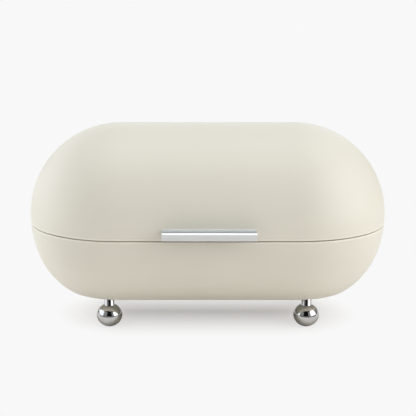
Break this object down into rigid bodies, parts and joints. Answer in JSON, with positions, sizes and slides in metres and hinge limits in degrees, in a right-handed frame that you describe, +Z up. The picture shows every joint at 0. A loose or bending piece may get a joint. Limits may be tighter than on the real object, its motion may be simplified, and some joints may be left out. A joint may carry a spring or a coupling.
{
  "type": "bread box",
  "caption": "Capsule-shaped bread box of pressed steel on ball feet, with a hinged lid, a ledge pull along the front and small vents in the back of the base.",
  "frame": {"origin": "on the table, in the middle of the overall length and depth", "axes": "+Z up, -Y out of the front with the handle, +X to the right seen from the front, along the box's length"},
  "size_m": [0.425, 0.247, 0.234],
  "materials": {
    "powder_coat": "cream powder coat, fine satin-matt orange peel, on pressed steel sheet",
    "brushed_aluminium": "extruded and brushed lengthwise, clear anodised",
    "chrome": "polished chrome plate",
    "hinge_steel": "brushed stainless steel",
    "zinc_steel": "bright zinc-plated steel",
    "rubber": "matt black rubber"
  },
  "bodies": {
    "base": {"base_shell": "powder_coat", "hinge_rivets_base": "zinc_steel", "foot_screws": "zinc_steel", "foot_washers": "zinc_steel", "hinge_leaf_base_left": "hinge_steel", "hinge_pin_left": "hinge_steel", "hinge_leaf_base_right": "hinge_steel", "hinge_pin_right": "hinge_steel", "foot_ball_front_left": "chrome", "foot_neck_front_left": "chrome", "foot_pad_front_left": "rubber", "foot_ball_front_right": "chrome", "foot_neck_front_right": "chrome", "foot_pad_front_right": "rubber", "foot_ball_back_left": "chrome", "foot_neck_back_left": "chrome", "foot_pad_back_left": "rubber", "foot_ball_back_right": "chrome", "foot_neck_back_right": "chrome", "foot_pad_back_right": "rubber"},
    "lid": {"lid_shell": "powder_coat", "handle": "brushed_aluminium", "handle_screws": "zinc_steel", "handle_washers": "zinc_steel", "hinge_rivets_lid": "zinc_steel", "hinge_leaf_lid_left": "hinge_steel", "hinge_leaf_lid_right": "hinge_steel"}
  },
  "joints": [
    {"name": "lid_hinge", "type": "hinge", "parent": "base", "child": "lid", "pos_m": [0, 0.11656, 0.11691], "axis": [-1, 0, 0], "range_deg": [0, 72]}
  ]
}
